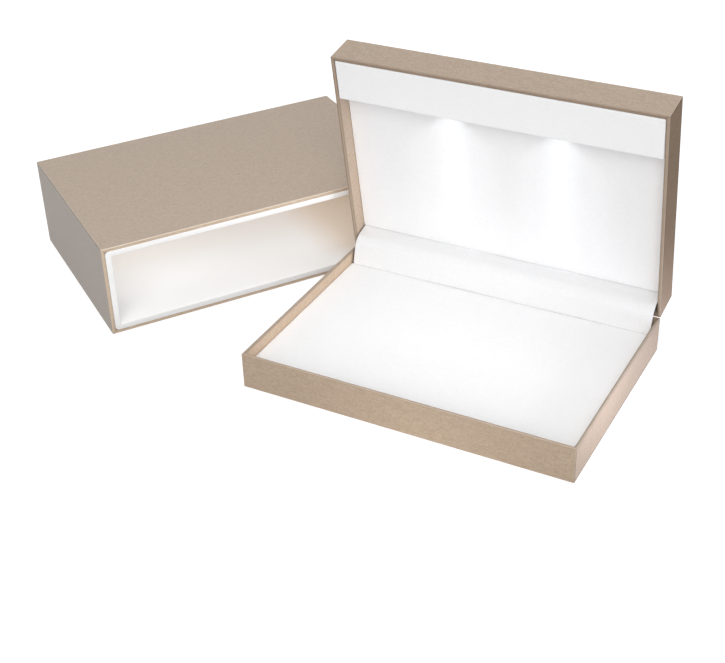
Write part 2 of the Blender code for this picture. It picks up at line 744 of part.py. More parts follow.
def sleeve(frame):
    """Board sleeve, open along one long side, with a white panel glued to each inner face."""
    half = sleeve_width / 2
    half_y = sleeve_depth / 2
    room = half - sleeve_board
    outer = piece("sleeve_shell", block(((-half, -half_y, 0), (half, half_y, sleeve_height))),
                  frame, "champagne_paper")
    cut(outer, block(((-room, -half_y - cut_overrun, sleeve_board),
                      (room, half_y - sleeve_board, sleeve_height - sleeve_board))),
        "sleeve_shell_hollow")
    soften(outer, wrap_radius)
    inner = sleeve_board + seat_gap
    lined = inner + liner_board
    outer_x, inner_x = half - inner, half - lined
    front, back = -half_y + liner_setback, half_y - inner
    top, roof = sleeve_height - inner, sleeve_height - lined
    low, high = lined + seat_gap, roof - seat_gap
    for name, near, far, level in (("sleeve_liner_floor", inner, lined, inner),
                                   ("sleeve_liner_roof", roof, top, top)):
        bm = block(((-outer_x, front, near), (outer_x, back, far)))
        round_corners(bm, level)
        soften(piece(name, bm, frame, "white_liner"), liner_edge_radius)
    panels = {
        "sleeve_liner_left": ((-outer_x, front, low), (-inner_x, back, high)),
        "sleeve_liner_right": ((inner_x, front, low), (outer_x, back, high)),
        "sleeve_liner_back": ((-inner_x + seat_gap, back - liner_board, low),
                              (inner_x - seat_gap, back, high)),
    }
    for name, corners in panels.items():
        soften(piece(name, block(corners), frame, "white_liner"), liner_edge_radius)


def build():
    """Make every piece in its frame, with the lid opened and the sleeve standing apart."""
    clear_scene()
    axis_height = base_under
    base = empty("base_frame", (0, case_depth / 2, axis_height))
    lid = empty("lid_frame", (0, case_depth / 2, axis_height), (-math.radians(lid_open_angle), 0, 0))
    plunger_frame = empty("plunger_frame", (0, 0, 0))
    plunger_frame.parent = lid
    sleeve_frame = empty("sleeve_frame", (*sleeve_place, 0), (0, 0, math.radians(sleeve_turn)))
    shell("base_tray", base, -1, base_height, base_wall, base_floor)
    shell("lid_tray", lid, 1, lid_height, lid_wall, lid_top)
    pads_and_boards(base, lid)
    apron(base, lid)
    hinges(base, lid)
    header(lid)
    lights(lid)
    battery(lid)
    switch(base, lid, plunger_frame)
    sleeve(sleeve_frame)


build()
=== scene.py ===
"""Looks of the lighted presentation case and its sleeve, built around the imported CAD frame."""

import functools
import json
import math
from types import SimpleNamespace

import bmesh
import bpy
from mathutils import Matrix, Vector, noise


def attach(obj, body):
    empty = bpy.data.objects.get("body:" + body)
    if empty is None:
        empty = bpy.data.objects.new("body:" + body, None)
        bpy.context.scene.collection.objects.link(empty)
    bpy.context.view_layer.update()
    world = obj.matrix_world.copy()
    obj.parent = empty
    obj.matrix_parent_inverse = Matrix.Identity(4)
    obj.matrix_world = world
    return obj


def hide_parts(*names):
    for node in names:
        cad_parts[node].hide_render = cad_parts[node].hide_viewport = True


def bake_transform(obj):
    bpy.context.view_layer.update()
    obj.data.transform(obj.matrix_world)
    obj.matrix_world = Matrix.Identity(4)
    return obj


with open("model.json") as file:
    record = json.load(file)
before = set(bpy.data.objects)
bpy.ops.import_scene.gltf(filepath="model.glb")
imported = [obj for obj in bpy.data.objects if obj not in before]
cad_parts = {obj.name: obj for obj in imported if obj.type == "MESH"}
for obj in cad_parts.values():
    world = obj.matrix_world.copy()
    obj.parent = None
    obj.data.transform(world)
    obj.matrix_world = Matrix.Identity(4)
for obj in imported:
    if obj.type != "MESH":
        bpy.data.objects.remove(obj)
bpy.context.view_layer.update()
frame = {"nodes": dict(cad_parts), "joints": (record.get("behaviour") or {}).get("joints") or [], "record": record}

# Lengths are in metres and angles in degrees. A piece of the lid or of the sleeve is drawn in
# its own frame, closed or square, and then put in place by that frame's matrix. A value that
# ends in waves is the scale of a noise or a wave. A pair that ends in range is where a mask starts
# and where it ends.

# Camera, fitted to the corners of both boxes
camera_place = (0.329666, -0.724493, 0.548753)
camera_yaw = -28.940
camera_pitch = 33.037
camera_roll = 1.918
camera_lens = 68.82
camera_sensor = 36.0

# Light
ambient_strength = 0.27
studio_centre = (-0.05, 0.05, 0.05)
key_direction = (0.25, -0.80, 0.55)
key_distance = 1.8
key_size = 1.5
key_power = 24.7
overhead_height = 1.5
overhead_size = 1.0
overhead_power = 7.3
fill_place = (0.40, -0.08, 0.10)
fill_towards = (-0.19, 0.015, 0.058)
fill_power = 3.0
fill_cone = 26.0
fill_blend = 0.5
fill_softness = 0.04
front_place = (0.03, -0.60, 0.035)
front_towards = (0.015, -0.082, -0.022)
front_power = 3.0
front_cone = 17.0
front_blend = 1.0
front_softness = 0.05
card_place = (0.200, 0.022, 0.018)
card_size = (0.20, 0.024)
card_power = 0.037
card_color = (0.95, 1.0, 1.21)
card_spread = 120.0

# Bounce light under the sleeve's roof, in the sleeve's frame: the middle and the size of all lamps
# in depth, their height, and each lamp's own middle, width and power
bounce_depth = (0.004, 0.108)
bounce_height = 0.062
bounce_lamps = ((-0.081, 0.074, 0.0168), (-0.001, 0.084, 0.0110), (0.075, 0.066, 0.0134))

# Beams of the two diodes. Each shape is a gain, the distances along the pad where it starts and
# is widest, its half width there and the share of it that is even. beam_hot and beam_fade are two
# distances, with the factor before the first one or after the second. A slope is measured from
# the pad's plane outwards.
beam_cone = 150.0
beam_blend = 0.2
beam_color = (0.93, 0.96, 1.0)
beam_lean = 3.0
beam_power = 1.0
beam_radius = 0.0008
beam_stand = 0.0006
beam_start = 0.0005
beam_shapes = ((800.0, -0.001, 0.014, 0.020, 0.1), (560.0, -0.001, 0.030, 0.044, 0.5))
beam_hot = (0.006, 0.024, 1.7)
beam_fade = (0.050, 0.125, 0.35)
beam_skim = (0.003, 0.0125)
wash_gain = 1.5
wash_shape = (0.020, 0.125, 0.098, 0.0)
wash_slopes = (0.55, 1.45)

# Floor: its size, its looks from near to far, what it sends back to the object, and the places to the right and
# behind where a painted shadow makes it send back less
floor_half = 6.0
floor_drop = 0.0003
floor_glow = 0.72
floor_near = 0.35
floor_far = 1.20
floor_tone = 0.50
floor_bounce = 0.36
floor_dark = 0.10
floor_dark_right = (0.02, 0.11)
floor_dark_back = (0.07, 0.15)

# Pads
pad_edge_radius = 0.00025
pad_edge_steps = 3
pad_lap = 0.00025
pad_cell = 0.0040
pad_crown = 0.0005
pad_ripple = 0.00010
pad_ripple_length = 0.030

# Sleeve lining: its corners outside and inside, the softened edge at its mouth, and the lip there
# that laps over the paper's rim
lining_corner = 0.0020
lining_inner_corner = 0.0003
lining_edge = 0.0005
lining_corner_steps = 4
lining_edge_steps = 3
lining_lap = 0.0006
lining_lip = 0.0002
lining_seat = 0.00003

# Hinge apron: its line from the base pad over the hinge to the lid pad, y and z from the axis,
# and its ripple, with the waves across and along that line
apron_thickness = 0.0008
apron_line = (
    (-0.0099, -0.0129), (-0.0099, -0.0105), (-0.00995, -0.0090), (-0.0093, -0.0068), (-0.0085, -0.0033),
    (-0.0075, 0.0005), (-0.0064, 0.0043), (-0.0051, 0.0067), (-0.0032, 0.0087), (-0.0007, 0.0104),
    (0.0023, 0.0113), (0.0059, 0.0120), (0.0090, 0.0129), (0.0112, 0.0133), (0.0132, 0.0136),
)
apron_steps = 6
apron_cell = 0.0030
apron_ripple = 0.00022
apron_ripple_waves = (22, 60)

# A new piece is shaded smooth up to this angle between faces
sharp_angle = 40

# Most of a noise's values lie in this range
noise_range = (0.3, 0.7)

# Champagne paper: its streak, fibre and clouds, the heights of its bumps, its gloss and its colours, among them
# painted shade and painted highlights
streak_along = 120.0
streak_across = 1700.0
streak_share = 0.45
streak_range = (0.2, 0.8)
painted_highlight_range = (0.50, 0.66)
fibre_share = 0.55
fibre_waves = 760.0
tone_range = (0.32, 0.68)
cloud_waves = 55.0
cloud_range = (0.35, 0.65)
cloud_share = 0.16
end_facing = 0.7
paper_bump = 0.35
paper_grain = 0.00008
paper_roughness = (0.40, 0.52)
paper_metallic = 0.12
paper_specular = 0.22
rim_round = 0.0004
rim_share = 0.75
line_share = 0.6
paper_dark = (0.365, 0.277, 0.197)
paper_pale = (0.555, 0.440, 0.330)
paper_cloud = (0.470, 0.348, 0.262)
# Painted shade along the ends' edges
paper_shade = (0.150, 0.110, 0.080)
# Real wear at edges, and painted highlights beside the ends and on the rim's lip
paper_worn_and_highlit = (0.760, 0.690, 0.600)
# A painted highlight on the rim's streaks
rim_painted_highlight = (0.740, 0.640, 0.530)
line_dark = (0.190, 0.130, 0.085)

# Edges of the wrapped paper: distances between which each mask fades, and its strength. Those of
# inner_blend count back from the wall's thickness.
side_wall_blend = 0.0001
turn_blend = 0.0003
inner_blend = (0.0004, 0.0001)
rub_waves = 60.0
rub_range = (0.52, 0.72)
worn_edge = (0.0002, 0.0008)
worn_share = 0.40
# Painted highlights: beside the ends, and on the rim's lip
lit_edge = (0.0002, 0.0005)
lit_share = 0.32
lip_width = (0.0004, 0.0008)
lip_depth = (0.00015, 0.00035)
# Painted shade along the ends' edges
dark_edge = (0.0005, 0.0014)
dark_share = 0.75
mitre_width = (0.00005, 0.00025)
mitre_end = 0.0002
fold_inset = 0.0003
fold_width = (0.0001, 0.0003)
fold_share = 0.6

# The paper of each body: its wrapped node, the axis that the rim faces and which way, the wall, how far the rim's
# paper turns down long and side walls, the strength of the painted highlight on the rim's streaks and lip, and
# tints that paint light and shade onto the whole body, onto its ends and onto its inner walls. The rim colours of
# long and side walls differ by painted light and shade.
papers = {
    "base": {
        "node": "base_tray", "rim_axis": 2, "rim_way": 1, "wall": 0.0020, "turns": (0.0007, 0.0012),
        "painted_highlight_share": 0.15, "lighting_tint": (1.03, 1.02, 1.02), "end_lighting_tint": (1.14, 1.12, 1.14),
        "inner_lighting_tint": (1.10, 1.10, 1.08), "side_rim": (0.400, 0.325, 0.262),
        "long_rim": (0.400, 0.305, 0.232),
    },
    "lid": {
        "node": "lid_tray", "rim_axis": 2, "rim_way": -1, "wall": 0.0026, "turns": (0.0005, 0.0011),
        "painted_highlight_share": 0.10, "lighting_tint": (0.915, 0.935, 0.985), "end_lighting_tint": (1.15, 1.08, 1.05),
        "inner_lighting_tint": (1.00, 1.07, 1.16), "side_rim": (0.400, 0.300, 0.224),
        "long_rim": (0.265, 0.190, 0.138),
    },
    "sleeve": {
        "node": "sleeve_shell", "rim_axis": 1, "rim_way": -1, "wall": 0.0030, "turns": (0.00015, 0.0006),
        "painted_highlight_share": 0.75, "lighting_tint": (1.05, 1.10, 1.20), "end_lighting_tint": (0.86, 0.966, 1.147),
        "inner_lighting_tint": (1.0, 1.0, 1.0), "side_rim": (0.610, 0.470, 0.345),
        "long_rim": (0.560, 0.410, 0.290),
    },
}

# White leatherette: its whiteness by body, which paints light and shade onto one leatherette, darker on the base
# than on the lid; how far its pale, dim and soiled places lie from that, its grain and its gloss
whites = {
    "base": {"white_leatherette": 0.780, "white_padding": 0.872},
    "lid": {"white_leatherette": 0.950, "white_padding": 0.893},
}
white_pale = (0.02, 0.02, 0.025)
white_dim = (-0.025, -0.023, -0.015)
white_soiled = (-0.01, -0.012, -0.012)
pebble_waves = 1000.0
pebble_share = 0.6
wrinkle_waves = 620.0
wrinkle_share = 0.5
wrinkle_range = (0.2, 0.8)
grain_range = (0.25, 0.75)
soil_waves = 25.0
soil_range = (0.40, 0.75)
soil_share = 0.3
leather_bump = 0.9
leather_grain = 0.00020
leather_roughness = (0.46, 0.60)
leather_specular = 0.35

# Lining board: its fibre, clouds and colours, and where painted warm shade lies on it, from the mouth inwards
# below a height, and towards its right end behind the mouth
lining_fibre_waves = 1300.0
lining_cloud_waves = 22.0
lining_cloud_range = (0.35, 0.7)
lining_cloud_share = 0.4
lining_bump = 0.25
lining_grain = 0.00006
lining_roughness = 0.72
lining_dim = (0.895, 0.893, 0.888)
lining_pale = (0.930, 0.928, 0.924)
lining_cloud = (0.890, 0.880, 0.865)
# Painted warm shade: deep inside below a height, and towards the right end behind the mouth
lining_deep_range = (-0.035, 0.015)
lining_deep_top = 0.0635
lining_deep_share = 0.5
lining_deep_shade_color = (0.86, 0.79, 0.74)
lining_right_range = (0.044, 0.086)
lining_mouth_range = (-0.078, -0.060)
lining_right_share = 0.9
lining_right_shade_color = (0.77, 0.66, 0.55)

# Grey board: its flecks and layers
fleck_waves = 1100.0
fleck_share = 0.7
layer_waves = (60.0, 60.0, 2600.0)
layer_share = 0.3
board_bump = 0.5
board_grain = 0.0002
board_roughness = 0.92
board_dark = (0.30, 0.285, 0.255)
board_pale = (0.46, 0.44, 0.40)

# Metals and plastics: the colour and roughness of each slot, and how far marks change them
metals = {
    "plated_steel": ((0.74, 0.74, 0.73), 0.28),
    "spring_steel": ((0.50, 0.50, 0.51), 0.34),
    "cell_steel": ((0.78, 0.78, 0.77), 0.22),
}
drawn_waves = (180.0, 5200.0, 5200.0)
drawn_shade = 0.86
drawn_bump = 0.15
drawn_grain = 0.00004
smear_waves = 260.0
smear_roughness = (-0.05, 0.08)
plastics = {
    "white_plastic": ((0.86, 0.86, 0.85), 0.34),
    "black_plastic": ((0.030, 0.030, 0.033), 0.42),
    "lead_insulation": ((0.84, 0.84, 0.82), 0.50),
}
spark_waves = 2400.0
spark_bump = 0.2
spark_grain = 0.00005
spark_roughness = (-0.04, 0.05)
plastic_cloud_waves = 120.0
plastic_shade = 0.93

# Diode lens and circuit board
swirl_waves = 900.0
lens_pale = (0.93, 0.95, 1.0)
lens_dim = (0.86, 0.90, 0.98)
lens_glow = (0.90, 0.95, 1.0, 1.0)
lens_strength = 4.0
lens_roughness = 0.12
weave_waves = 9000.0
weave_bump = 0.2
weave_grain = 0.00002
mask_roughness = 0.38
mask_dark = (0.010, 0.075, 0.030)
mask_pale = (0.016, 0.100, 0.042)


def joint(name):
    """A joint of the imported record."""
    return next(j for j in frame["joints"] if j["name"] == name)


hinge = joint("lid_hinge")
draw_axis = joint("sleeve_draw")["axis"]
sleeve_mount = next(m for m in frame["record"]["mounts"] if m["name"] == "sleeve_bottom")
base_place = Matrix.Translation(Vector(hinge["pos_m"]))
lid_place = base_place @ Matrix.Rotation(-math.radians(hinge["range_deg"][1]), 4, "X")
sleeve_place = (Matrix.Translation(Vector(sleeve_mount["pos_m"]))
                @ Matrix.Rotation(math.atan2(-draw_axis[0], draw_axis[1]), 4, "Z"))
places = {"base": base_place, "lid": lid_place, "plunger": lid_place, "sleeve": sleeve_place}


def local_box(node, place):
    """Lowest and highest corner of a CAD node, in a body's own frame."""
    back = place.inverted()
    points = [back @ v.co for v in frame["nodes"][node].data.vertices]
    return (Vector([min(p[i] for p in points) for i in range(3)]),
            Vector([max(p[i] for p in points) for i in range(3)]))


class Graph:
    """A node tree, with short calls that add and join its nodes."""

    def __init__(self, tree):
        self.tree = tree

    def node(self, kind, **settings):
        """A new node of a kind, with its settings."""
        made = self.tree.nodes.new(kind)
        for key, value in settings.items():
            setattr(made, key, value)
        return made

    def feed(self, socket, value):
        """Join value to socket, or set it there when it is plain."""
        if isinstance(value, bpy.types.NodeSocket):
            self.tree.links.new(value, socket)
        else:
            socket.default_value = value

    def math(self, operation, *values):
        """The result of an operation on numbers."""
        made = self.node("ShaderNodeMath", operation=operation)
        for socket, value in zip(made.inputs, values):
            self.feed(socket, value)
        return made.outputs[0]

    def vector(self, operation, *values):
        """The result of an operation on vectors."""
        made = self.node("ShaderNodeVectorMath", operation=operation)
        for socket, value in zip(made.inputs, values):
            self.feed(socket, value)
        return made.outputs["Value" if operation in ("LENGTH", "DOT_PRODUCT") else "Vector"]

    def mix(self, share, one, other, blend="MIX"):
        """A colour that goes from one to other with share."""
        made = self.node("ShaderNodeMix", data_type="RGBA", blend_type=blend)
        self.feed(made.inputs["Factor"], share)
        self.feed(made.inputs["A"], (*one, 1.0) if isinstance(one, tuple) else one)
        self.feed(made.inputs["B"], (*other, 1.0) if isinstance(other, tuple) else other)
        return made.outputs["Result"]

    def mix_shaders(self, share, one, other):
        """A shader that goes from one to other with share."""
        made = self.node("ShaderNodeMixShader")
        for socket, value in zip(made.inputs, (share, one, other)):
            self.feed(socket, value)
        return made.outputs[0]

    def spread(self, value, low, high, new_low=0.0, new_high=1.0, way="LINEAR"):
        """value mapped from low..high to new_low..new_high, held at the ends."""
        made = self.node("ShaderNodeMapRange", clamp=True, interpolation_type=way)
        for socket, number in zip(made.inputs, (value, low, high, new_low, new_high)):
            self.feed(socket, number)
        return made.outputs[0]

    def parts(self, vector):
        """The x, y and z of a vector."""
        made = self.node("ShaderNodeSeparateXYZ")
        self.feed(made.inputs[0], vector)
        return made.outputs

    def noise(self, vector, scale, detail=2.0, roughness=0.5):
        """Noise from 0 to 1."""
        made = self.node("ShaderNodeTexNoise")
        sockets = {"Vector": vector, "Scale": scale, "Detail": detail, "Roughness": roughness}
        for key, value in sockets.items():
            self.feed(made.inputs[key], value)
        return made.outputs["Fac"]

    def cells(self, vector, scale, feature):
        """Distance from the middle of a cell."""
        made = self.node("ShaderNodeTexVoronoi", feature=feature)
        self.feed(made.inputs["Vector"], vector)
        self.feed(made.inputs["Scale"], scale)
        return made.outputs["Distance"]


class Shader(Graph):
    """A material and its node tree."""

    def __init__(self, name):
        self.material = bpy.data.materials.new(name)
        self.material.use_nodes = True
        super().__init__(self.material.node_tree)
        self.bsdf = self.tree.nodes["Principled BSDF"]

    def place(self, matrix):
        """The surface point in the frame of matrix."""
        made = self.node("ShaderNodeMapping", vector_type="TEXTURE")
        made.inputs["Location"].default_value = matrix.to_translation()
        made.inputs["Rotation"].default_value = matrix.to_euler()
        self.feed(made.inputs["Vector"], self.node("ShaderNodeTexCoord").outputs["Object"])
        return made.outputs[0]

    def facing(self, matrix):
        """How far the surface faces along the frame's x, from 0 to 1."""
        normal = self.node("ShaderNodeTexCoord").outputs["Normal"]
        return self.math("ABSOLUTE", self.vector("DOT_PRODUCT", normal, matrix.to_3x3().col[0]))

    def bump(self, height, strength, distance):
        """A bump on top of those already there."""
        made = self.node("ShaderNodeBump")
        for key, value in (("Strength", strength), ("Distance", distance), ("Height", height)):
            self.feed(made.inputs[key], value)
        normal = self.bsdf.inputs["Normal"]
        if normal.is_linked:
            self.feed(made.inputs["Normal"], normal.links[0].from_socket)
        self.feed(normal, made.outputs[0])

    def finish(self, color, roughness, metallic=0.0, specular=0.5):
        """The material, with these on its shader."""
        self.feed(self.bsdf.inputs["Base Color"], color)
        self.feed(self.bsdf.inputs["Roughness"], roughness)
        self.feed(self.bsdf.inputs["Metallic"], metallic)
        self.feed(self.bsdf.inputs["Specular IOR Level"], specular)
        return self.material


def wrapped_edges(s, point, ends, place, paper):
    """Masks of a wrapped shell: its rim, inner and side walls, light and dark edges, and folds."""
    low, high = local_box(paper["node"], place)
    axis = paper["rim_axis"]
    wall = paper["wall"]
    parts = s.parts(point)
    gaps = []
    for i in range(3):
        off = s.math("ABSOLUTE", s.math("SUBTRACT", parts[i], (low[i] + high[i]) / 2))
        gaps.append(s.math("SUBTRACT", (high[i] - low[i]) / 2, off))
    top = high[axis] if paper["rim_way"] > 0 else low[axis]
    below = s.math("MULTIPLY", s.math("SUBTRACT", parts[axis], top), -paper["rim_way"])
    one, other = (gaps[i] for i in range(3) if i != axis)
    inward = s.math("MINIMUM", one, other)
    along = s.math("MAXIMUM", one, other)
    inner = s.spread(inward, wall - inner_blend[0], wall - inner_blend[1])

    # The rim, whose paper turns down the side walls further than the long ones
    side_wall = s.spread(s.math("SUBTRACT", one, other), -side_wall_blend, side_wall_blend, 1.0, 0.0)
    long_turn, side_turn = paper["turns"]
    depth = s.math("SUBTRACT", below, s.math("MULTIPLY", side_wall, side_turn - long_turn))
    rim = s.spread(depth, long_turn, long_turn + turn_blend, 1.0, 0.0)

    # Lighter edges: real wear at random places, and painted highlights beside the ends and on the rim's lip on its
    # long walls. The middle one of the three gaps is the distance from the nearest edge.
    near = s.math("MINIMUM", gaps[0], gaps[1])
    far = s.math("MAXIMUM", gaps[0], gaps[1])
    edge = s.math("MAXIMUM", near, s.math("MINIMUM", far, gaps[2]))
    rub = s.spread(s.noise(point, rub_waves, detail=4.0, roughness=0.6), *rub_range)
    worn = s.math("MULTIPLY", s.spread(edge, *worn_edge, worn_share, 0.0), rub)
    sides = s.math("SUBTRACT", 1.0, ends)
    lit = s.math("MULTIPLY", s.spread(gaps[0], *lit_edge, lit_share, 0.0), sides)
    lip = s.spread(inward, *lip_width, paper["painted_highlight_share"], 0.0)
    lip = s.math("MULTIPLY", lip, s.spread(below, *lip_depth, 1.0, 0.0))
    lip = s.math("MULTIPLY", lip, s.math("SUBTRACT", 1.0, side_wall))
    light = s.math("MAXIMUM", worn, s.math("MAXIMUM", lit, lip))

    # Painted shade along the edges of the ends, and dark lines in the rim's mitres and where it folds inwards
    dark = s.spread(s.math("MINIMUM", gaps[1], gaps[2]), *dark_edge, dark_share, 0.0)
    dark = s.math("MULTIPLY", dark, ends)
    mitre = s.spread(s.math("ABSOLUTE", s.math("SUBTRACT", one, other)), *mitre_width, 1.0, 0.0)
    mitre = s.math("MULTIPLY", mitre, s.spread(along, wall, wall + mitre_end, 1.0, 0.0))
    fold = s.math("ABSOLUTE", s.math("SUBTRACT", inward, wall - fold_inset))
    fold = s.spread(fold, *fold_width, fold_share, 0.0)
    line = s.math("MULTIPLY", s.math("MAXIMUM", mitre, fold), rim)

    # The side walls' rim swells towards its middle
    off = s.math("ABSOLUTE", s.math("SUBTRACT", inward, wall / 2))
    belly = s.math("MULTIPLY", s.spread(off, 0.0, wall / 2, 1.0, 0.0, "SMOOTHSTEP"), side_wall)
    return SimpleNamespace(inner=inner, side_wall=side_wall, rim=rim, light=light, dark=dark,
                           line=line, belly=belly)


def champagne_paper(name, place, paper):
    """Satin champagne paper. Its brushed streak runs along the sheet, and upright on the ends."""
    s = Shader(name)
    point = s.place(place)
    ends = s.math("GREATER_THAN", s.facing(place), end_facing)
    edges = wrapped_edges(s, point, ends, place, paper)
    stretch = s.node("ShaderNodeCombineXYZ")
    s.feed(stretch.inputs["X"], streak_along)
    s.feed(stretch.inputs["Y"], streak_across)
    s.feed(stretch.inputs["Z"], s.spread(ends, 0.0, 1.0, streak_across, streak_along))
    stretched = s.vector("MULTIPLY", point, stretch.outputs[0])
    streak = s.noise(stretched, 1.0, detail=3.0, roughness=0.6)
    fibre = s.noise(point, fibre_waves, detail=3.0, roughness=0.7)
    cloud = s.noise(point, cloud_waves, detail=3.0, roughness=0.6)
    tone = s.math("ADD", s.math("MULTIPLY", streak, streak_share), s.math("MULTIPLY", fibre, fibre_share))
    color = s.mix(s.spread(tone, *tone_range), paper_dark, paper_pale)
    color = s.mix(s.spread(cloud, *cloud_range, new_high=cloud_share), color, paper_cloud)
    # Painted light and shade: one tint for the whole body, another for its ends
    color = s.mix(1.0, color, s.mix(ends, paper["lighting_tint"], paper["end_lighting_tint"]), "MULTIPLY")
    # Painted light on the inner walls
    color = s.mix(edges.inner, color, s.mix(1.0, color, paper["inner_lighting_tint"], "MULTIPLY"))
    # Painted shade along the edges of the ends
    color = s.mix(edges.dark, color, paper_shade)
    # The rim's colours, with painted light and shade between long and side walls
    rim = s.mix(edges.side_wall, paper["long_rim"], paper["side_rim"])
    # A painted highlight on the rim's streaks
    rim = s.mix(s.spread(streak, *painted_highlight_range, new_high=paper["painted_highlight_share"]), rim, rim_painted_highlight)
    color = s.mix(s.math("MULTIPLY", edges.rim, rim_share), color, rim)
    color = s.mix(s.math("MULTIPLY", edges.line, line_share), color, line_dark)
    # Real wear at edges, and painted highlights beside the ends and on the rim's lip
    color = s.mix(edges.light, color, paper_worn_and_highlit)
    s.bump(edges.belly, 1.0, rim_round)
    s.bump(s.math("SUBTRACT", tone, edges.line), paper_bump, paper_grain)
    return s.finish(color, s.spread(streak, *streak_range, *paper_roughness),
                    metallic=paper_metallic, specular=paper_specular)


def white_leatherette(name, place, white):
    """White leatherette with a fine pebbled grain."""
    s = Shader(name)
    point = s.place(place)
    pebble = s.cells(point, pebble_waves, "SMOOTH_F1")
    wrinkle = s.noise(point, wrinkle_waves, detail=3.0, roughness=0.65)
    grain = s.math("ADD", s.math("MULTIPLY", pebble, pebble_share),
                   s.math("MULTIPLY", wrinkle, wrinkle_share))
    soil = s.noise(point, soil_waves, detail=3.0)
    # The whiteness it starts from is set per body as painted light and shade
    pale, dim, soiled = (tuple(white + c for c in off) for off in (white_pale, white_dim, white_soiled))
    color = s.mix(s.spread(grain, *grain_range), pale, dim)
    color = s.mix(s.spread(soil, *soil_range, new_high=soil_share), color, soiled)
    s.bump(grain, leather_bump, leather_grain)
    return s.finish(color, s.spread(wrinkle, *wrinkle_range, *leather_roughness),
                    specular=leather_specular)


def lining_board(name, place):
    """Matt white lining paper over board, with a faint fibre, and painted warm shade deep inside and towards its
    right end.
    """
    s = Shader(name)
    point = s.place(place)
    fibre = s.noise(point, lining_fibre_waves, detail=3.0, roughness=0.65)
    cloud = s.noise(point, lining_cloud_waves)
    color = s.mix(s.spread(fibre, *noise_range), lining_dim, lining_pale)
    color = s.mix(s.spread(cloud, *lining_cloud_range, new_high=lining_cloud_share), color, lining_cloud)
    x, y, z = s.parts(point)
    # Painted warm shade deep inside the sleeve
    deep = s.math("MULTIPLY", s.spread(y, *lining_deep_range, way="SMOOTHSTEP"),
                  s.math("LESS_THAN", z, lining_deep_top))
    color = s.mix(s.math("MULTIPLY", deep, lining_deep_share), color, lining_deep_shade_color)
    # Painted warm shade towards the right end, behind the mouth
    right = s.spread(x, *lining_right_range, new_high=lining_right_share, way="SMOOTHSTEP")
    right = s.math("MULTIPLY", right, s.spread(y, *lining_mouth_range))
    color = s.mix(right, color, lining_right_shade_color)
    s.bump(fibre, lining_bump, lining_grain)
    return s.finish(color, lining_roughness)


def grey_board(name, place):
    """Raw grey board, flecked."""
    s = Shader(name)
    point = s.place(place)
    fleck = s.noise(point, fleck_waves, detail=4.0, roughness=0.7)
    layer = s.noise(s.vector("MULTIPLY", point, layer_waves), 1.0)
    tone = s.math("ADD", s.math("MULTIPLY", fleck, fleck_share), s.math("MULTIPLY", layer, layer_share))
    s.bump(tone, board_bump, board_grain)
    return s.finish(s.mix(s.spread(tone, *noise_range), board_dark, board_pale), board_roughness)


def steel(name, place, color, roughness):
    """Plated or plain steel, drawn along x, with a few marks from handling."""
    s = Shader(name)
    point = s.place(place)
    drawn = s.noise(s.vector("MULTIPLY", point, drawn_waves), 1.0, detail=3.0, roughness=0.6)
    smear = s.noise(point, smear_waves, detail=3.0, roughness=0.6)
    darker = tuple(drawn_shade * c for c in color)
    s.bump(drawn, drawn_bump, drawn_grain)
    smeared = s.spread(smear, *noise_range, *(roughness + r for r in smear_roughness))
    return s.finish(s.mix(s.spread(drawn, *noise_range), color, darker), smeared, metallic=1.0)


def moulded(name, place, color, roughness):
    """Moulded plastic with a fine spark-eroded texture."""
    s = Shader(name)
    point = s.place(place)
    spark = s.noise(point, spark_waves, detail=3.0, roughness=0.6)
    cloud = s.noise(point, plastic_cloud_waves)
    darker = tuple(plastic_shade * c for c in color)
    s.bump(spark, spark_bump, spark_grain)
    sparked = s.spread(spark, *noise_range, *(roughness + r for r in spark_roughness))
    return s.finish(s.mix(s.spread(cloud, *noise_range), color, darker), sparked)


def lit_lens(name, place):
    """Clear resin dome of a lighted diode."""
    s = Shader(name)
    swirl = s.noise(s.place(place), swirl_waves)
    s.feed(s.bsdf.inputs["Emission Color"], lens_glow)
    s.feed(s.bsdf.inputs["Emission Strength"], lens_strength)
    return s.finish(s.mix(s.spread(swirl, *noise_range), lens_pale, lens_dim), lens_roughness)


def solder_mask(name, place):
    """Green circuit board, with the glass weave faint beneath."""
    s = Shader(name)
    parts = s.parts(s.place(place))
    threads = [s.math("SINE", s.math("MULTIPLY", parts[i], weave_waves)) for i in (0, 1)]
    weave = s.math("MULTIPLY", *threads)
    s.bump(weave, weave_bump, weave_grain)
    return s.finish(s.mix(s.spread(weave, -1.0, 1.0), mask_dark, mask_pale), mask_roughness)


@functools.cache
def finish_of(body, slot):
    """The finish of a material slot, in the frame of its body."""
    name = f"{slot}_{body}"
    place = places[body]
    if slot == "champagne_paper":
        return champagne_paper(name, place, papers[body])
    if slot in ("white_leatherette", "white_padding"):
        return white_leatherette(name, place, whites[body][slot])
    if slot in metals:
        return steel(name, place, *metals[slot])
    if slot in plastics:
        return moulded(name, place, *plastics[slot])
    others = {"white_liner": lining_board, "grey_board": grey_board, "circuit_board": solder_mask,
              "light_lens": lit_lens}
    return others[slot](name, place)


def dress_nodes():
    """Every CAD node gets the procedural finish of its own slot."""
    slots = {part["node"]: part["material_slot"] for part in frame["record"]["subparts"]}
    for body, members in frame["record"]["behaviour"]["bodies"].items():
        for name in members:
            node = frame["nodes"][name]
            finish = finish_of(body, slots[name])
            if not node.material_slots:
                node.data.materials.append(finish)
            for slot in node.material_slots:
                slot.material = finish


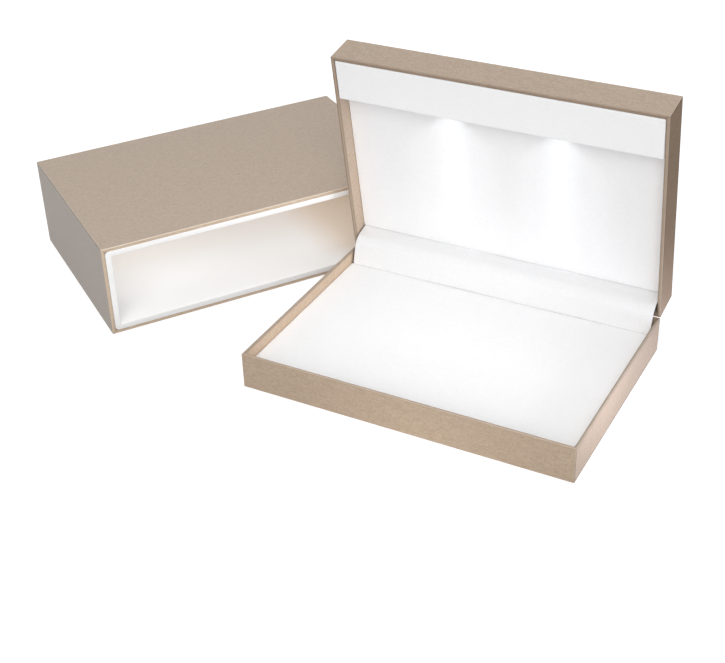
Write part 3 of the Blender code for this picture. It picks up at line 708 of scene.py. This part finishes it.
def new_piece(name, bm, body, slot):
    """A mesh piece with its finish, drawn in its body's frame and put in place."""
    bmesh.ops.recalc_face_normals(bm, faces=bm.faces)
    mesh = bpy.data.meshes.new(name)
    bm.to_mesh(mesh)
    bm.free()
    obj = bpy.data.objects.new(name, mesh)
    bpy.context.scene.collection.objects.link(obj)
    mesh.transform(places[body])
    mesh.materials.append(finish_of(body, slot))
    mesh.shade_smooth()
    mesh.set_sharp_from_angle(angle=math.radians(sharp_angle))
    return obj


def join_rows(bm, rows):
    """Faces over a grid of points."""
    for one, other in zip(rows, rows[1:]):
        for i in range(len(one) - 1):
            bm.faces.new((one[i], other[i], other[i + 1], one[i + 1]))


def join_loops(bm, one, other):
    """Faces between two closed loops of as many points."""
    for i in range(len(one)):
        j = (i + 1) % len(one)
        bm.faces.new((one[i], one[j], other[j], other[i]))


def spaced(low, high):
    """Grid lines of a pad from low to high, close together over the rounded edge at both ends."""
    turns = [math.radians(90 * i / pad_edge_steps) for i in range(pad_edge_steps + 1)]
    edge = [pad_edge_radius * (1 - math.cos(turn)) for turn in turns]
    inner_low, inner_high = low + pad_edge_radius, high - pad_edge_radius
    count = max(2, round((inner_high - inner_low) / pad_cell))
    middle = [inner_low + (inner_high - inner_low) * i / count for i in range(1, count)]
    return [low + e for e in edge] + middle + [high - e for e in reversed(edge)]


def pad_point(x, y, middle, half):
    """A grid point of a pad's face, drawn in round its corners, and its rise from the crest."""
    radius = pad_edge_radius
    lines = ((x, middle.x, half.x), (y, middle.y, half.y))
    over = [max(0.0, abs(v - m) - (h - radius)) for v, m, h in lines]
    reach = max(over)
    length = math.hypot(*over)
    pull = reach / length if length > 0 else 1.0
    sides = [math.copysign(abs(v - m) - o + o * pull, v - m) for (v, m, h), o in zip(lines, over)]
    drop = radius - math.sqrt(max(0.0, radius ** 2 - reach ** 2))
    swell = (1 - (sides[0] / half.x) ** 2) * (1 - (sides[1] / half.y) ** 2)
    ripple = noise.noise(Vector((x, y, middle.z)) / pad_ripple_length) * pad_ripple
    rise = -drop - (1 - swell) * pad_crown + ripple * swell
    return middle.x + sides[0], middle.y + sides[1], rise


def cushion(name, low, high, face, body, node):
    """A leatherette pad: a crowned face with rounded edges, standing on a flat underside.

    face is +1 where the pad's face is its high side, and -1 where it is its low side.
    """
    bm = bmesh.new()
    middle = (low + high) / 2
    half = (high - low) / 2
    crest, foot = (high.z, low.z) if face > 0 else (low.z, high.z)
    grid = []
    for line_x in spaced(low.x, high.x):
        row = []
        for line_y in spaced(low.y, high.y):
            x, y, rise = pad_point(line_x, line_y, middle, half)
            row.append(bm.verts.new((x, y, crest + face * rise)))
        grid.append(row)
    join_rows(bm, grid)
    rim = ([row[0] for row in grid] + grid[-1][1:] + [row[-1] for row in reversed(grid[:-1])]
           + list(reversed(grid[0][1:-1])))
    feet = [bm.verts.new((v.co.x, v.co.y, foot)) for v in rim]
    join_loops(bm, rim, feet)
    bm.faces.new(feet)
    obj = new_piece(name, bm, body, "white_padding")
    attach(obj, body)
    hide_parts(node)


def smooth_line(points, steps):
    """A Catmull-Rom curve through points, with steps stretches between each two."""
    points = [Vector(p) for p in points]
    ends = [2 * points[0] - points[1]] + points + [2 * points[-1] - points[-2]]
    line = []
    for a, b, c, d in zip(ends, ends[1:], ends[2:], ends[3:]):
        for i in range(steps):
            t = i / steps
            line.append(0.5 * (2 * b + (c - a) * t + (2 * a - 5 * b + 4 * c - d) * t ** 2
                               + (3 * b - a - 3 * c + d) * t ** 3))
    return line + [points[-1]]


def apron():
    """One sheet of leatherette that rolls from the base pad over the hinge to the lid pad."""
    low, high = local_box("base_apron", base_place)
    line = smooth_line(apron_line, apron_steps)
    normals = []
    for i in range(len(line)):
        run = line[min(i + 1, len(line) - 1)] - line[max(i - 1, 0)]
        normals.append(Vector((-run.y, run.x)).normalized())
    count = round((high.x - low.x) / apron_cell)
    across, along = apron_ripple_waves
    bm = bmesh.new()
    layers = []
    for side in (-1.0, 0.0):
        rows = []
        for k in range(count + 1):
            x = low.x + (high.x - low.x) * k / count
            row = []
            for p, normal in zip(line, normals):
                wave = noise.noise(Vector((x * across, p.x * along, p.y * along))) * apron_ripple
                q = p + normal * (side * apron_thickness + wave)
                row.append(bm.verts.new((x, q.x, q.y)))
            rows.append(row)
        join_rows(bm, rows)
        layers.append(rows)
    under, over = layers
    for k in (0, count):
        for i in range(len(line) - 1):
            bm.faces.new((under[k][i], under[k][i + 1], over[k][i + 1], over[k][i]))
    for i in (0, len(line) - 1):
        for k in range(count):
            bm.faces.new((under[k][i], under[k + 1][i], over[k + 1][i], over[k][i]))
    obj = new_piece("hinge_apron", bm, "base", "white_leatherette")
    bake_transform(obj)
    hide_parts("base_apron", "lid_apron")


def lining():
    """The white lining of the sleeve as one piece, with soft corners and a lip over the rim."""
    sides = ("floor", "roof", "left", "right")
    floor, roof, left, right = (local_box(f"sleeve_liner_{side}", sleeve_place) for side in sides)
    low = Vector((left[0].x, floor[0].y, floor[0].z))
    high = Vector((right[1].x, floor[1].y, roof[1].z))
    board = floor[1].z - floor[0].z
    rim = local_box("sleeve_shell", sleeve_place)[0].y - lining_seat
    front = rim - lining_lip
    bm = bmesh.new()

    def loop(inset, radius, y):
        """A rounded rectangle at depth y, set in from the lining's outside."""
        points = []
        for sx, sz, start in ((1, 1, 0), (-1, 1, 90), (-1, -1, 180), (1, -1, 270)):
            x = (high.x if sx > 0 else low.x) - sx * (inset + radius)
            z = (high.z if sz > 0 else low.z) - sz * (inset + radius)
            for i in range(lining_corner_steps + 1):
                a = math.radians(start + 90 * i / lining_corner_steps)
                points.append(bm.verts.new((x + radius * math.cos(a), y, z + radius * math.sin(a))))
        return points

    turns = [math.radians(90 * i / lining_edge_steps) for i in range(lining_edge_steps + 1)]
    rows = [loop(0, lining_corner, high.y), loop(0, lining_corner, rim)]
    for a in turns:
        reach = lining_lap - lining_lip * (1 - math.cos(a))
        rows.append(loop(-reach, lining_corner + reach, front + lining_lip * (1 - math.sin(a))))
    for a in reversed(turns):
        back = lining_edge * (1 - math.cos(a))
        depth = front + lining_edge * (1 - math.sin(a))
        rows.append(loop(board - back, lining_inner_corner + back, depth))
    rows.append(loop(board, lining_inner_corner, high.y - board))
    for one, other in zip(rows, rows[1:]):
        join_loops(bm, one, other)
    bm.faces.new(rows[0])
    bm.faces.new(rows[-1])
    obj = new_piece("sleeve_lining", bm, "sleeve", "white_liner")
    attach(obj, "sleeve")
    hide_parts("sleeve_liner_floor", "sleeve_liner_roof", "sleeve_liner_left", "sleeve_liner_right",
                "sleeve_liner_back")


def aim_camera():
    """The camera at the photograph's place, turned, tipped and rolled as it was fitted."""
    yaw, pitch, roll = (math.radians(a) for a in (camera_yaw, camera_pitch, camera_roll))
    forward = Vector((math.sin(yaw) * math.cos(pitch), math.cos(yaw) * math.cos(pitch), -math.sin(pitch)))
    level = Vector((math.cos(yaw), -math.sin(yaw), 0.0))
    down = forward.cross(level)
    right = math.cos(roll) * level + math.sin(roll) * down
    up = math.sin(roll) * level - math.cos(roll) * down
    data = bpy.data.cameras.new("camera")
    data.lens = camera_lens
    data.sensor_width = camera_sensor
    data.sensor_fit = "HORIZONTAL"
    obj = bpy.data.objects.new("camera", data)
    bpy.context.scene.collection.objects.link(obj)
    turn = Matrix((right, up, -forward)).transposed().to_4x4()
    obj.matrix_world = Matrix.Translation(Vector(camera_place)) @ turn
    bpy.context.scene.camera = obj


def white_world():
    """A world that is white to the camera, in mirrors and through glass, and a weak ambient light."""
    world = bpy.data.worlds.new("studio")
    bpy.context.scene.world = world
    world.use_nodes = True
    g = Graph(world.node_tree)
    ambient = g.tree.nodes["Background"]
    white = g.node("ShaderNodeBackground")
    for background, strength in ((ambient, ambient_strength), (white, 1.0)):
        background.inputs["Color"].default_value = (1, 1, 1, 1)
        background.inputs["Strength"].default_value = strength
    rays = g.node("ShaderNodeLightPath").outputs
    seen = g.math("MAXIMUM", rays["Is Camera Ray"], rays["Is Glossy Ray"])
    seen = g.math("MAXIMUM", seen, rays["Is Transmission Ray"])
    surface = g.mix_shaders(seen, ambient.outputs[0], white.outputs[0])
    g.feed(g.tree.nodes["World Output"].inputs["Surface"], surface)


def floor_material():
    """White to the camera, with the object's shadow. It sends little light back to the object, and less still
    where a painted shadow lies to the right and behind.
    """
    material = bpy.data.materials.new("floor")
    material.use_nodes = True
    g = Graph(material.node_tree)
    g.tree.nodes.remove(g.tree.nodes["Principled BSDF"])
    point = g.node("ShaderNodeTexCoord").outputs["Object"]
    parts = g.parts(point)
    # A painted shadow to the right and behind, seen only in bounce light and reflections
    dark = g.math("MULTIPLY", g.spread(parts[0], *floor_dark_right), g.spread(parts[1], *floor_dark_back))
    plain = g.node("ShaderNodeBsdfDiffuse")
    g.feed(plain.inputs["Color"], g.mix(dark, (floor_bounce,) * 3, (floor_bounce * floor_dark,) * 3))
    shaded = g.node("ShaderNodeBsdfDiffuse")
    shaded.inputs["Color"].default_value = (floor_tone, floor_tone, floor_tone, 1)
    glow = g.node("ShaderNodeEmission")
    away = g.vector("LENGTH", point)
    g.feed(glow.inputs["Strength"], g.spread(away, floor_near, floor_far, floor_glow, 1.0))
    bright = g.node("ShaderNodeAddShader")
    g.feed(bright.inputs[0], shaded.outputs[0])
    g.feed(bright.inputs[1], glow.outputs[0])
    rays = g.node("ShaderNodeLightPath").outputs
    seen = g.math("MAXIMUM", rays["Is Camera Ray"], rays["Is Transmission Ray"])
    mirrored = g.math("MULTIPLY", rays["Is Glossy Ray"], g.spread(dark, 0.0, 1.0, 1.0, floor_dark))
    seen = g.math("MAXIMUM", seen, mirrored)
    surface = g.mix_shaders(seen, plain.outputs[0], bright.outputs[0])
    g.feed(g.tree.nodes["Material Output"].inputs["Surface"], surface)
    return material


def lay_floor():
    """A large square floor just under the object."""
    bm = bmesh.new()
    bmesh.ops.create_grid(bm, x_segments=1, y_segments=1, size=floor_half)
    mesh = bpy.data.meshes.new("floor")
    bm.to_mesh(mesh)
    bm.free()
    floor = bpy.data.objects.new("floor", mesh)
    floor.location.z = -floor_drop
    mesh.materials.append(floor_material())
    bpy.context.scene.collection.objects.link(floor)


def lamp(name, kind, place, towards, power, **settings):
    """A lamp at place that points at towards, out of the camera's sight."""
    data = bpy.data.lights.new(name, kind)
    data.energy = power
    for key, value in settings.items():
        setattr(data, key, value)
    obj = bpy.data.objects.new(name, data)
    bpy.context.scene.collection.objects.link(obj)
    obj.location = place
    obj.rotation_euler = (Vector(towards) - Vector(place)).to_track_quat("-Z", "Y").to_euler()
    obj.visible_camera = False
    return obj


def studio_lights():
    """A large soft box in front, one overhead, two fills and a low card on the right."""
    centre = Vector(studio_centre)
    key_place = centre + Vector(key_direction).normalized() * key_distance
    overhead_place = centre + Vector((0, 0, overhead_height))
    card_towards = Vector(card_place) - Vector((1, 0, 0))
    lamp("soft_box", "AREA", key_place, centre, key_power, shape="SQUARE", size=key_size)
    lamp("overhead", "AREA", overhead_place, centre, overhead_power, shape="SQUARE", size=overhead_size)
    lamp("fill", "SPOT", fill_place, fill_towards, fill_power, spot_size=math.radians(fill_cone),
         spot_blend=fill_blend, shadow_soft_size=fill_softness)
    lamp("front_fill", "SPOT", front_place, front_towards, front_power,
         spot_size=math.radians(front_cone), spot_blend=front_blend, shadow_soft_size=front_softness)
    lamp("low_card", "AREA", card_place, card_towards, card_power, color=card_color, shape="RECTANGLE",
         size=card_size[0], size_y=card_size[1], spread=math.radians(card_spread))


def bounce_lights():
    """Three lamps under the sleeve's roof, for the light that bounces about in it."""
    middle_y, depth = bounce_depth
    for i, (middle_x, width, power) in enumerate(bounce_lamps):
        roof = sleeve_place @ Vector((middle_x, middle_y, bounce_height))
        bounce = lamp(f"sleeve_bounce_{i + 1}", "AREA", roof, roof - Vector((0, 0, 1)), power,
                      shape="RECTANGLE", size=width, size_y=depth)
        bounce.rotation_euler = (0, 0, sleeve_place.to_euler().z)
        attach(bounce, "sleeve")


def shape_beam(data):
    """A beam with a core and a wide bell on the lid pad, and a faint wash over apron and base pad."""
    data.use_nodes = True
    g = Graph(data.node_tree)
    reach = g.node("ShaderNodeLightPath").outputs["Ray Length"]
    way = g.parts(g.node("ShaderNodeTexCoord").outputs["Normal"])
    aside = g.math("MULTIPLY", g.math("ABSOLUTE", way[0]), reach)
    along = g.math("MULTIPLY", g.math("ABSOLUTE", way[2]), reach)
    slope = g.math("DIVIDE", way[1], way[2])

    def share(near, far, wide, even):
        """A bell across the beam that widens from near to far."""
        width = g.spread(along, near, far, beam_start, wide)
        return g.spread(g.math("DIVIDE", aside, width), even, 1.0, 1.0, 0.0, "SMOOTHSTEP")

    total = 0.0
    for gain, *shape in beam_shapes:
        total = g.math("MULTIPLY_ADD", share(*shape), gain, total)
    hot_near, hot_far, hot_gain = beam_hot
    total = g.math("MULTIPLY", total, g.spread(along, hot_near, hot_far, hot_gain, 1.0))
    total = g.math("MULTIPLY", total, g.spread(along, beam_fade[0], beam_fade[1], 1.0, beam_fade[2]))
    total = g.math("MULTIPLY", total, g.spread(slope, *beam_skim, 1.0, 0.0))
    wash = g.math("MULTIPLY", share(*wash_shape), wash_gain)
    wash = g.math("MULTIPLY", wash, g.spread(slope, *wash_slopes, 1.0, 0.0, "SMOOTHSTEP"))
    falloff = g.node("ShaderNodeLightFalloff")
    g.feed(falloff.inputs["Strength"], g.math("MULTIPLY", g.math("ADD", total, wash), reach))
    g.feed(g.tree.nodes["Emission"].inputs["Strength"], falloff.outputs["Constant"])


def case_lights():
    """The two diodes in the header, whose beams wash down the lid pad and end above the base pad."""
    lean = math.radians(beam_lean)
    for side in ("left", "right"):
        low, high = local_box(f"light_diode_{side}", lid_place)
        tip = Vector(((low.x + high.x) / 2, high.y + beam_stand, (low.z + high.z) / 2))
        aim = tip + Vector((0, math.cos(lean), math.sin(lean)))
        obj = lamp(f"light_beam_{side}", "SPOT", lid_place @ tip, lid_place @ aim, beam_power,
                   color=beam_color, spot_size=math.radians(beam_cone), spot_blend=beam_blend,
                   shadow_soft_size=beam_radius)
        shape_beam(obj.data)
        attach(obj, "lid")


dress_nodes()
base_low, base_high = local_box("base_pad", base_place)
cushion("base_cushion", base_low, base_high + Vector((0, pad_lap, 0)), 1, "base", "base_pad")
cushion("lid_cushion", *local_box("lid_pad", lid_place), -1, "lid", "lid_pad")
apron()
lining()
aim_camera()
white_world()
lay_floor()
studio_lights()
bounce_lights()
case_lights()
bpy.context.scene.view_settings.view_transform = "Standard"
